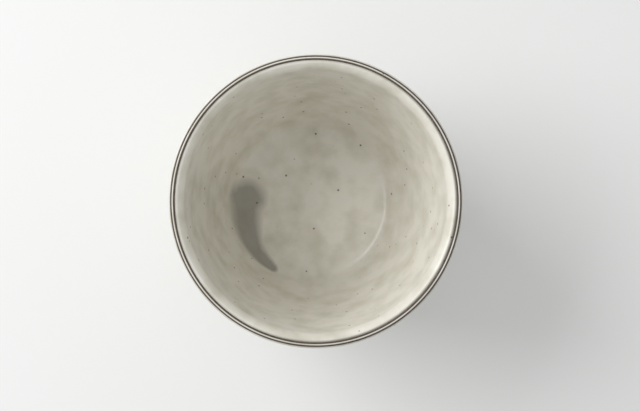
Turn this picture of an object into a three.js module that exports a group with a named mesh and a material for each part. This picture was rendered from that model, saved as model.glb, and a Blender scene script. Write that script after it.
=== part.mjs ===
// A hand-thrown tea cup in white-slipped stoneware, in millimetres, +Z up, standing on z = 0 with its axis on Z.
// Dark clay is thrown and its foot ring is turned from the same clay. White slip is laid over it, inside,
// outside and on the land of the lip, and breaks at the two edges of the lip, so that the clay shows there as
// two dark lines. One coat of clear glaze covers everything down to a line just above the foot, which is bare.
// The sizes below are those of the clay, and the coats are laid on it. Finished, the cup is about 84 mm across.
import * as THREE from "three";

// Inside of the clay
const FLOOR_LEVEL = 10.8; // height of the flat floor above the table
const FLOOR_RADIUS = 21.5; // flat part of the floor
const FLOOR_FILLET = 4.6; // hollow corner between floor and wall
const WALL_LEAN_AT_FLOOR = 30; // degrees from upright where the wall leaves the corner
const WALL_LEAN_AT_MOUTH = 8; // degrees from upright under the lip
const MOUTH_RADIUS = 38.2; // inside the wall, at the foot of the lip's bevel
const MOUTH_LEVEL = 64.9; // height of that line

// Lip, drawn from the inside outwards
const BEVEL_WIDTH = 1.9; // inner slope of the lip, seen from above
const BEVEL_RISE = 2.4;
const LAND_WIDTH = 1.0; // nearly flat top between the two edges
const LAND_FALL = 0.15;
const LIP_ROLL_WIDTH = 0.3; // rounded outer side of the lip
const LIP_ROLL_FALL = 0.75;

// Wall thickness of the clay
const WALL_AT_HIP = 4.4;
const WALL_AT_MOUTH = 2.9;

// Foot ring and the hollow turned inside it
const FOOT_RADIUS = 24.0; // outer side, just above the chamfer
const FOOT_NECK_RADIUS = 23.6; // outer side, where the ring meets the belly
const FOOT_HEIGHT = 6.2;
const FOOT_WIDTH = 4.1; // outer side to inner side, just above the chamfers
const FOOT_CHAMFER = 0.7;
const BELLY_RISE = 15; // degrees that the belly climbs as it leaves the ring
const RECESS_DEPTH = 5.4;
const RECESS_DRAFT = 0.7; // how far the ring's inner side leans in
const RECESS_FILLET = 1.4;
const NUB_RADIUS = 4.5; // low point that the turning tool leaves in the middle of the hollow
const NUB_HEIGHT = 0.8;

// Coats
const SLIP_THICKNESS = 0.35;
const SLIP_FEATHER = 1.2; // length over which the slip thins out towards its edge
const GLAZE_THICKNESS = 0.25;
const BARE_EDGE = 0.25; // clay without slip, on each side of each edge of the lip
const SLIP_STOP = 0.45; // share of the hip, up from the foot, that the slip leaves bare
const GLAZE_STOP = 0.2; // share of the hip that the glaze leaves bare

const TURN_STEPS = 40; // facets round the axis

const point = (radius, height) => new THREE.Vector2(radius, height);
const lean = (degrees) => point(Math.sin(THREE.MathUtils.degToRad(degrees)), Math.cos(THREE.MathUtils.degToRad(degrees)));
const along = (start, direction, distance) => start.clone().addScaledVector(direction, distance);

// Where the line through a along da meets the line through b along db.
function crossing(a, da, b, db) {
  const gap = b.clone().sub(a);
  return along(a, da, gap.cross(db) / da.cross(db));
}

// A curve that leaves start along startDirection and arrives at end along endDirection.
function bend(start, startDirection, end, endDirection) {
  return new THREE.QuadraticBezierCurve(start, crossing(start, startDirection, end, endDirection), end);
}

// Unit normals of an open line of points, to the left of its direction of travel.
function leftNormals(line) {
  return line.map((_, i) => {
    const before = line[Math.max(i - 1, 0)];
    const after = line[Math.min(i + 1, line.length - 1)];
    const travel = after.clone().sub(before).normalize();
    return point(-travel.y, travel.x);
  });
}

// The clay's inner line, from the axis across the floor and up to the foot of the bevel.
const filletCentre = point(FLOOR_RADIUS, FLOOR_LEVEL + FLOOR_FILLET);
const filletTurn = THREE.MathUtils.degToRad(90 - WALL_LEAN_AT_FLOOR);
const filletSteps = 5;
const floorLine = [point(0, FLOOR_LEVEL)];
for (let i = 0; i <= filletSteps; i++) {
  const turn = (filletTurn * i) / filletSteps;
  floorLine.push(point(filletCentre.x + FLOOR_FILLET * Math.sin(turn), filletCentre.y - FLOOR_FILLET * Math.cos(turn)));
}
const mouth = point(MOUTH_RADIUS, MOUTH_LEVEL);
const innerWall = bend(floorLine.at(-1), lean(WALL_LEAN_AT_FLOOR), mouth, lean(WALL_LEAN_AT_MOUTH));
const wallSteps = 6;

// The outer wall keeps a distance from the inner one that falls evenly from the hip to the mouth.
const outerWall = [];
for (let i = wallSteps; i >= 0; i--) {
  const share = i / wallSteps;
  const travel = innerWall.getTangent(share);
  const thickness = THREE.MathUtils.lerp(WALL_AT_HIP, WALL_AT_MOUTH, share);
  outerWall.push(along(innerWall.getPoint(share), point(travel.y, -travel.x), thickness));
}

// The lip: two edges with bare clay beside each, the land between them and the roll outside.
const innerEdge = point(MOUTH_RADIUS + BEVEL_WIDTH, MOUTH_LEVEL + BEVEL_RISE);
const outerEdge = point(innerEdge.x + LAND_WIDTH, innerEdge.y - LAND_FALL);
const rollEnd = point(outerEdge.x + LIP_ROLL_WIDTH, outerEdge.y - LIP_ROLL_FALL);
const towards = (start, end, distance) => along(start, end.clone().sub(start).normalize(), distance);

// The hip turns from the outer wall to the neck of the foot ring.
const neck = point(FOOT_NECK_RADIUS, FOOT_HEIGHT);
const hip = bend(neck, lean(90 - BELLY_RISE), outerWall.at(-1), lean(WALL_LEAN_AT_FLOOR));
const hipPoints = (from, to, steps) =>
  Array.from({ length: steps + 1 }, (_, i) => hip.getPoint(THREE.MathUtils.lerp(from, to, i / steps)));

// Stretches of the clay that carry slip, each from the inside of the cup outwards and down.
const insideClay = [...floorLine, ...innerWall.getPoints(wallSteps).slice(1), towards(innerEdge, mouth, SLIP_FEATHER),
  towards(innerEdge, mouth, BARE_EDGE)];
const landClay = [towards(innerEdge, outerEdge, BARE_EDGE), along(innerEdge, outerEdge.clone().sub(innerEdge), 0.5),
  towards(outerEdge, innerEdge, BARE_EDGE)];
const outsideClay = [towards(outerEdge, rollEnd, BARE_EDGE), rollEnd, ...outerWall, ...hipPoints(1, SLIP_STOP, 3).slice(1)];
const bareHip = hipPoints(SLIP_STOP, GLAZE_STOP, 1).slice(1); // under the glaze, without slip

// The foot ring and its hollow, from the neck down and in to the axis.
const ringInside = FOOT_RADIUS - FOOT_WIDTH;
const recessWall = ringInside - RECESS_DRAFT;
const footClay = [
  neck,
  point(FOOT_RADIUS, FOOT_CHAMFER),
  point(FOOT_RADIUS - FOOT_CHAMFER, 0),
  point(ringInside + FOOT_CHAMFER, 0),
  point(ringInside, FOOT_CHAMFER),
  point(recessWall, RECESS_DEPTH - RECESS_FILLET),
  point(recessWall - RECESS_FILLET * (1 - Math.SQRT1_2), RECESS_DEPTH - RECESS_FILLET * (1 - Math.SQRT1_2)),
  point(recessWall - RECESS_FILLET, RECESS_DEPTH),
  point(NUB_RADIUS, RECESS_DEPTH),
  point(NUB_RADIUS / 2, RECESS_DEPTH - NUB_HEIGHT * 0.8),
  point(0, RECESS_DEPTH - NUB_HEIGHT),
];

// The slip's free surface over a stretch of clay: full thickness, thinning to nothing at the ends named.
function slipOver(clay, thinsAtStart, thinsAtEnd) {
  const lengths = [0];
  for (let i = 1; i < clay.length; i++) lengths.push(lengths[i - 1] + clay[i].distanceTo(clay[i - 1]));
  const normals = leftNormals(clay);
  return clay.map((at, i) => {
    const fromStart = thinsAtStart ? lengths[i] / SLIP_FEATHER : 1;
    const fromEnd = thinsAtEnd ? (lengths.at(-1) - lengths[i]) / SLIP_FEATHER : 1;
    return along(at, normals[i], SLIP_THICKNESS * Math.min(fromStart, fromEnd, 1));
  });
}
const insideSlip = slipOver(insideClay, false, true);
const landSlip = slipOver(landClay, true, true);
const outsideSlip = slipOver(outsideClay, true, true);

// The glaze lies on slip and bare clay alike. Its free surface stays on the axis where it starts.
const underGlaze = [...insideSlip, innerEdge, ...landSlip, outerEdge, ...outsideSlip, ...bareHip];
const glazeNormals = leftNormals(underGlaze);
glazeNormals[0] = point(0, 1);
const glazeSurface = underGlaze.map((at, i) => along(at, glazeNormals[i], i < underGlaze.length - 1 ? GLAZE_THICKNESS : 0));

// A solid turned round Z from an outline that ends on the axis or closes on itself, with its faces pointing out.
function turned(name, outline, material) {
  const area = THREE.ShapeUtils.area(outline);
  const drawn = area > 0 ? outline : [...outline].reverse();
  const onAxis = drawn[0].x === 0;
  const geometry = new THREE.LatheGeometry(onAxis ? drawn : [...drawn, drawn[0]], TURN_STEPS);
  geometry.rotateX(Math.PI / 2);
  const mesh = new THREE.Mesh(geometry, material);
  mesh.name = name;
  return mesh;
}

const clay = new THREE.MeshStandardMaterial({ color: 0x5b514a, roughness: 0.85, metalness: 0 });
const slip = new THREE.MeshStandardMaterial({ color: 0xe4e1d6, roughness: 0.6, metalness: 0 });
const glaze = new THREE.MeshStandardMaterial({ color: 0xdedbc9, roughness: 0.2, metalness: 0 });

const cup = new THREE.Group();
cup.name = "tea_cup";
cup.add(
  turned("clay_body", [...insideClay, innerEdge, ...landClay, outerEdge, ...outsideClay, ...bareHip, ...footClay], clay),
  turned("inside_slip", [...insideClay, ...insideSlip.slice(0, -1).reverse()], slip),
  turned("lip_slip", [...landClay, ...landSlip.slice(1, -1).reverse()], slip),
  turned("outside_slip", [...outsideClay, ...outsideSlip.slice(1, -1).reverse()], slip),
  turned("clear_glaze", [...underGlaze, ...glazeSurface.slice(0, -1).reverse()], glaze),
);

export default cup;
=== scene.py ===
import math

import bpy
import numpy as np
from mathutils import Matrix, Vector


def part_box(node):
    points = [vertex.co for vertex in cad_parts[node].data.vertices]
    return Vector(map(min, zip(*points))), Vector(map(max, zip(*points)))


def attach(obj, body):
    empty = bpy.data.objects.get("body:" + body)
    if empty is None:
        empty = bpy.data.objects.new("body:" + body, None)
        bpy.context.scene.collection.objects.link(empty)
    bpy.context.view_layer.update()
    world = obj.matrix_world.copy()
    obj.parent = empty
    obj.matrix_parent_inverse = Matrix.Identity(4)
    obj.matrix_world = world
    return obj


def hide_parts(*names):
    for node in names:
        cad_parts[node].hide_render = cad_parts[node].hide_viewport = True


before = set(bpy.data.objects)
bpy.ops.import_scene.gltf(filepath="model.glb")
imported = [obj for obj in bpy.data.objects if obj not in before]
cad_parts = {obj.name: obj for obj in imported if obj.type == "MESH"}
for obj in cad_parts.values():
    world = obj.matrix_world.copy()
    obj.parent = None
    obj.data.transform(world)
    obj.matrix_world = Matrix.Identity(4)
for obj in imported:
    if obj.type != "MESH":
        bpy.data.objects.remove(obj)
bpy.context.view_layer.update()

MM = 0.001  # metres in a millimetre
LIP_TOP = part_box("clay_body")[1][2]  # in metres

# Inside of the clay, in millimetres, with the same sizes as in the CAD model
FLOOR_LEVEL = 10.8
FLOOR_RADIUS = 21.5
FLOOR_FILLET = 4.6
WALL_LEAN_AT_FLOOR = math.radians(30)  # from upright, like the other leans
WALL_LEAN_AT_MOUTH = math.radians(8)

# Lip, as steps of radius and height from the foot of its bevel
MOUTH = np.array([38.2, 64.9])
INNER_EDGE = MOUTH + (1.9, 2.4)
OUTER_EDGE = INNER_EDGE + (1.0, -0.15)
ROLL_END = OUTER_EDGE + (0.3, -0.75)

# Outside of the clay and the foot ring
WALL_AT_HIP = 4.4
WALL_AT_MOUTH = 2.9
NECK = np.array([23.6, 6.2])
BELLY_LEAN = math.radians(75)
FOOT_RADIUS = 24
FOOT_INSIDE_RADIUS = 19.9
FOOT_CHAMFER = 0.7
HOLLOW_RADIUS = 19.2
HOLLOW_DEPTH = 5.4
HOLLOW_FILLET = 1.4
FILLET_MIDDLE = (18.8, 5)  # a point of that fillet, halfway round
NUB_RADIUS = 4.5
NUB_HEIGHT = 0.8

# Coats
COAT = 0.58  # slip and glaze together
FEATHER = 1.2  # length over which a coat thins out towards its edge
BARE_EDGE = 0.3  # clay that shows on each side of an edge of the lip

# Steps along each stretch of the outline, and round the axis
FLOOR_STEPS = 11
FILLET_STEPS = 12
WALL_STEPS = 40
LAND_STEPS = 4
HIP_STEPS = 20
COATED_HIP_STEPS = 13  # of those, how many the outside coat covers from the top
TURN_STEPS = 256


def lean(angle):
    """Direction, as radius and height, that leans outwards from upright by angle."""
    return np.array([math.sin(angle), math.cos(angle)])


def bend(start, start_way, end, end_way, steps):
    """A quadratic curve from start to end whose middle point is where the two end tangents cross."""
    reach = np.linalg.solve(np.column_stack([start_way, -end_way]), end - start)[0]
    middle = start + reach * start_way
    t = np.linspace(0, 1, steps + 1)[:, None]
    return (1 - t) ** 2 * start + 2 * t * (1 - t) * middle + t**2 * end


def normals(line):
    """Unit vectors to the left of a line's direction of travel."""
    travel = np.gradient(line, axis=0)
    travel /= np.linalg.norm(travel, axis=1)[:, None]
    return np.column_stack([-travel[:, 1], travel[:, 0]])


def toward(start, end, distance):
    """The point at that distance from start on the way to end."""
    return start + (end - start) / np.linalg.norm(end - start) * distance


# The clay's outline, from the axis across the floor, up the inside, over the lip and down the outside
turn = np.linspace(0, math.pi / 2 - WALL_LEAN_AT_FLOOR, FILLET_STEPS + 1)
fillet_radius = FLOOR_RADIUS + FLOOR_FILLET * np.sin(turn)
fillet_height = FLOOR_LEVEL + FLOOR_FILLET * (1 - np.cos(turn))
fillet = np.column_stack([fillet_radius, fillet_height])
floor_radius = np.linspace(0, FLOOR_RADIUS, FLOOR_STEPS + 1)[:-1]
floor_line = np.column_stack([floor_radius, np.full(FLOOR_STEPS, FLOOR_LEVEL)])
wall = bend(fillet[-1], lean(WALL_LEAN_AT_FLOOR), MOUTH, lean(WALL_LEAN_AT_MOUTH), WALL_STEPS)
wall_thickness = np.linspace(WALL_AT_HIP, WALL_AT_MOUTH, len(wall))[:, None]
outer_wall = (wall - normals(wall) * wall_thickness)[::-1]
hip = bend(NECK, lean(BELLY_LEAN), outer_wall[-1], lean(WALL_LEAN_AT_FLOOR), HIP_STEPS)[::-1]
bare_hip = hip[COATED_HIP_STEPS + 1 :]

# The three coated stretches of it
bevel_start = toward(INNER_EDGE, MOUTH, FEATHER)
bevel_end = toward(INNER_EDGE, MOUTH, BARE_EDGE)
inside = np.vstack([floor_line, fillet, wall[1:], bevel_start, bevel_end])
land_start = toward(INNER_EDGE, OUTER_EDGE, BARE_EDGE)
land_end = toward(OUTER_EDGE, INNER_EDGE, BARE_EDGE)
land = np.linspace(land_start, land_end, LAND_STEPS + 1)
roll_start = toward(OUTER_EDGE, ROLL_END, BARE_EDGE)
outside = np.vstack([roll_start, ROLL_END, outer_wall, hip[1 : COATED_HIP_STEPS + 1]])

# The foot ring and the hollow inside it, from the outer chamfer to the low point on the axis
foot = [
    (FOOT_RADIUS, FOOT_CHAMFER),
    (FOOT_RADIUS - FOOT_CHAMFER, 0),
    (FOOT_INSIDE_RADIUS + FOOT_CHAMFER, 0),
    (FOOT_INSIDE_RADIUS, FOOT_CHAMFER),
    (HOLLOW_RADIUS, HOLLOW_DEPTH - HOLLOW_FILLET),
    FILLET_MIDDLE,
    (HOLLOW_RADIUS - HOLLOW_FILLET, HOLLOW_DEPTH),
    (NUB_RADIUS, HOLLOW_DEPTH),
    (0, HOLLOW_DEPTH - NUB_HEIGHT),
]
whole_clay = np.vstack([inside, INNER_EDGE, land, OUTER_EDGE, outside, bare_hip, foot])


def coat_over(clay, thins_at_start):
    """Outline of a coat: the clay line pushed out along its normals, with thinned free ends, and back."""
    length = np.r_[0, np.cumsum(np.linalg.norm(np.diff(clay, axis=0), axis=1))]
    start_share = length / FEATHER if thins_at_start else np.ones(len(clay))
    end_share = (length[-1] - length) / FEATHER
    share = np.clip(np.minimum(start_share, end_share), 0, 1)
    top = clay + normals(clay) * COAT * share[:, None]
    if thins_at_start:
        return np.vstack([top, clay[-2:0:-1]])
    top[0, 0] = 0
    return np.vstack([top, clay[-2::-1]])


def revolved(outline):
    """Points and faces of an outline turned round Z.

    Each outline point of radius r and height z becomes a ring of points at r times the cosine of the
    angle, r times its sine, and z. An outline that starts and ends on the axis is closed there by a fan
    of triangles at each pole, and any other closes on itself. The outline is walked anticlockwise, so
    that the faces point outwards.
    """
    r, z = outline.T
    twice_area = np.sum(r * np.roll(z, -1) - np.roll(r, -1) * z)
    if twice_area < 0:
        outline = outline[::-1]
    on_axis = outline[0, 0] == 0
    rings = outline[1:-1] if on_axis else outline
    angle = np.arange(TURN_STEPS) * 2 * math.pi / TURN_STEPS
    x = rings[:, :1] * np.cos(angle)
    y = rings[:, :1] * np.sin(angle)
    height = np.repeat(rings[:, 1:], TURN_STEPS, axis=1)
    points = np.stack([x, y, height], axis=-1).reshape(-1, 3)

    grid = np.arange(len(points)).reshape(len(rings), TURN_STEPS)
    first = grid[:-1] if on_axis else grid
    second = grid[1:] if on_axis else np.roll(grid, -1, axis=0)
    corners = (first, np.roll(first, -1, axis=1), np.roll(second, -1, axis=1), second)
    faces = np.stack(corners, axis=-1).reshape(-1, 4).tolist()
    if on_axis:
        start_pole = np.full(TURN_STEPS, len(points))
        end_pole = start_pole + 1
        points = np.vstack([points, [[0, 0, outline[0, 1]], [0, 0, outline[-1, 1]]]])
        following = np.roll(grid, -1, axis=1)
        faces += np.stack([start_pole, following[0], grid[0]], axis=-1).tolist()
        faces += np.stack([end_pole, grid[-1], following[-1]], axis=-1).tolist()
    return points, faces


def turned(name, outline, material, nodes):
    """A piece of the cup turned from an outline, in place of the CAD nodes named."""
    points, faces = revolved(outline)
    mesh = bpy.data.meshes.new(name)
    mesh.from_pydata((points * MM).tolist(), [], faces)
    mesh.shade_smooth()
    mesh.materials.append(material)
    piece = bpy.data.objects.new(name, mesh)
    bpy.context.scene.collection.objects.link(piece)
    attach(piece, "root")
    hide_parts(*nodes)


def colour(code):
    """sRGB hex to linear RGBA."""
    parts = [int(code[i : i + 2], 16) / 255 for i in (0, 2, 4)]
    return [c / 12.92 if c <= 0.04045 else ((c + 0.055) / 1.055) ** 2.4 for c in parts] + [1]


# Sockets of the Mix node when it mixes colours
MIX_SHARE = 0
MIX_FIRST = 6
MIX_SECOND = 7
MIX_RESULT = 2

# Mottling: the stretch of the noise over which the lighter colour gives way to the darker
NOISE_DETAIL = 5.0
MOTTLE_LOW = 0.4
MOTTLE_HIGH = 0.75

# Iron specks, one at most in each cell, with a core about 0.45 mm across and a soft edge
SPECK_CELL = 4.5  # millimetres
SPECK_CORE = 0.05  # radii as shares of the cell
SPECK_EDGE = 0.09
SPECK_STRENGTH = 0.8
SPECK_COLOUR = "3A332C"

# Thin place in the slip, a sweep of overlapping spots that narrow along a curve on the floor's corner
SWEEP_SPOTS = 25
SWEEP_START = 176  # degrees round the axis
SWEEP_LENGTH = 63
SWEEP_RADIUS = 20.4
SWEEP_RADIUS_GROWTH = 3.8
SWEEP_REACH = 6.0
SWEEP_REACH_LOSS = 4.2
SWEEP_LEVEL = 12
SWEEP_FADE = 1.7  # where a spot has faded out, as a share of its reach
SWEEP_STRENGTH = 0.65
SWEEP_COLOUR = "67635A"


def add(tree, kind, inputs, **settings):
    """Adds a node, sets it and fills its inputs with values or links."""
    made = tree.nodes.new(kind)
    for key, value in settings.items():
        setattr(made, key, value)
    for key, value in inputs.items():
        if isinstance(value, bpy.types.NodeSocket):
            tree.links.new(value, made.inputs[key])
        else:
            made.inputs[key].default_value = value
    return made


def sweep_mask(tree, place, noise):
    """How thin the slip is, from 0 to the sweep's strength: the most that any of its spots gives."""
    mask = None
    for share in np.linspace(0, 1, SWEEP_SPOTS):
        way = math.radians(SWEEP_START + SWEEP_LENGTH * share)
        radius = (SWEEP_RADIUS + SWEEP_RADIUS_GROWTH * share) * MM
        reach = (SWEEP_REACH - SWEEP_REACH_LOSS * share) * MM
        centre = (radius * math.cos(way), radius * math.sin(way), SWEEP_LEVEL * MM)
        far = add(tree, "ShaderNodeVectorMath", {0: place, 1: centre}, operation="DISTANCE").outputs["Value"]
        uneven = {0: noise, 1: reach, 2: far}
        ragged = add(tree, "ShaderNodeMath", uneven, operation="MULTIPLY_ADD").outputs[0]
        spread = {"Value": ragged, "From Min": reach, "From Max": SWEEP_FADE * reach}
        spread |= {"To Min": SWEEP_STRENGTH, "To Max": 0.0}
        spot = add(tree, "ShaderNodeMapRange", spread).outputs[0]
        if mask is None:
            mask = spot
        else:
            mask = add(tree, "ShaderNodeMath", {0: mask, 1: spot}, operation="MAXIMUM").outputs[0]
    return mask


def fired(name, light, dark, grain, roughness, has_sweep):
    """A fired surface: two colours mixed by noise of that grain in mm, iron specks, and the sweep if asked."""
    material = bpy.data.materials.new(name)
    material.use_nodes = True
    tree = material.node_tree
    place = add(tree, "ShaderNodeTexCoord", {}).outputs["Object"]
    pattern = {"Vector": place, "Scale": 1 / (grain * MM), "Detail": NOISE_DETAIL}
    noise = add(tree, "ShaderNodeTexNoise", pattern).outputs[0]
    mottle_range = {"Value": noise, "From Min": MOTTLE_LOW, "From Max": MOTTLE_HIGH}
    mottle = add(tree, "ShaderNodeMapRange", mottle_range).outputs[0]
    cell_pattern = {"Vector": place, "Scale": 1 / (SPECK_CELL * MM)}
    cells = add(tree, "ShaderNodeTexVoronoi", cell_pattern).outputs[0]
    speck_range = {"Value": cells, "From Min": SPECK_CORE, "From Max": SPECK_EDGE}
    speck_range |= {"To Min": SPECK_STRENGTH, "To Max": 0.0}
    speck = add(tree, "ShaderNodeMapRange", speck_range).outputs[0]

    layers = [(mottle, dark), (speck, SPECK_COLOUR)]
    if has_sweep:
        layers.append((sweep_mask(tree, place, noise), SWEEP_COLOUR))
    tone = colour(light)
    for share, code in layers:
        mixed = {MIX_SHARE: share, MIX_FIRST: tone, MIX_SECOND: colour(code)}
        tone = add(tree, "ShaderNodeMix", mixed, data_type="RGBA").outputs[MIX_RESULT]
    shader = tree.nodes["Principled BSDF"]
    shader.inputs["Roughness"].default_value = roughness
    tree.links.new(tone, shader.inputs["Base Color"])
    return material


# Iron-bearing stoneware, turned and left bare: matt grey-brown with a fine grain
stoneware = fired("turned_stoneware", "5B514A", "453C35", grain=1.5, roughness=0.85, has_sweep=False)
# White slip under clear feldspar glaze: a soft gloss over warm white, cloudy where the slip varies
glazed_slip = fired("slip_under_clear_glaze", "E6E3D9", "CFCBBC", grain=7, roughness=0.24, has_sweep=True)

inside_coat = coat_over(inside, thins_at_start=False)
lip_coat = coat_over(land, thins_at_start=True)
outside_coat = coat_over(outside, thins_at_start=True)
turned("thrown_clay", whole_clay, stoneware, ["clay_body"])
turned("inside_coat", inside_coat, glazed_slip, ["inside_slip", "clear_glaze"])
turned("lip_coat", lip_coat, glazed_slip, ["lip_slip"])
turned("outside_coat", outside_coat, glazed_slip, ["outside_slip"])

# Table, in metres, a hair below the foot so that the two don't flicker
TABLE_WIDTH = 3
TABLE_LEVEL = -0.0001
TABLE_COLOUR = "F1F2F1"
TABLE_ROUGHNESS = 0.9
bpy.ops.mesh.primitive_plane_add(size=TABLE_WIDTH, location=(0, 0, TABLE_LEVEL))
table = bpy.context.object
table.name = "table"
# Matt white painted board: no gloss, so that it only carries the soft shadow
painted = bpy.data.materials.new("matt_white_table")
painted.use_nodes = True
painted_shader = painted.node_tree.nodes["Principled BSDF"]
painted_shader.inputs["Base Color"].default_value = colour(TABLE_COLOUR)
painted_shader.inputs["Roughness"].default_value = TABLE_ROUGHNESS
table.data.materials.append(painted)

# One large soft source at the left, and even light from the room
KEY_AZIMUTH = math.radians(155)
KEY_ELEVATION = math.radians(38)
KEY_DISTANCE = 0.9
KEY_WIDTH = 0.7
KEY_SHARE = 0.45  # light that it lays on the table, as a share of what makes white render as white
ROOM_LIGHT = 0.58
key_data = bpy.data.lights.new("window", "AREA")
key_data.size = KEY_WIDTH
key_data.energy = KEY_SHARE * math.pi**2 * KEY_DISTANCE**2 / math.sin(KEY_ELEVATION)
key = bpy.data.objects.new("window", key_data)
key_x = math.cos(KEY_AZIMUTH) * math.cos(KEY_ELEVATION)
key_y = math.sin(KEY_AZIMUTH) * math.cos(KEY_ELEVATION)
key.location = KEY_DISTANCE * Vector((key_x, key_y, math.sin(KEY_ELEVATION)))
key.rotation_euler = (-key.location).to_track_quat("-Z", "Y").to_euler()
bpy.context.scene.collection.objects.link(key)
world = bpy.data.worlds.new("room")
world.use_nodes = True
background = world.node_tree.nodes["Background"]
background.inputs["Color"].default_value = (1, 1, 1, 1)
background.inputs["Strength"].default_value = ROOM_LIGHT
bpy.context.scene.world = world

# Camera almost straight above the mouth, with the picture's up along +Y
LENS = 99.6  # millimetres
CAMERA_RISE = 0.5  # metres above the lip
CAMERA_PLACE = Vector((-12.2 * MM, -3.4 * MM, LIP_TOP + CAMERA_RISE))
CAMERA_AIM = Vector((1.07 * MM, -1.24 * MM, LIP_TOP))
camera_data = bpy.data.cameras.new("camera")
camera_data.lens = LENS
camera = bpy.data.objects.new("camera", camera_data)
bpy.context.scene.collection.objects.link(camera)
bpy.context.scene.camera = camera
back = (CAMERA_PLACE - CAMERA_AIM).normalized()
right = Vector((0, 1, 0)).cross(back).normalized()
turned_axes = Matrix((right, back.cross(right), back)).transposed().to_4x4()
camera.matrix_world = Matrix.Translation(CAMERA_PLACE) @ turned_axes
bpy.context.scene.view_settings.view_transform = "Standard"
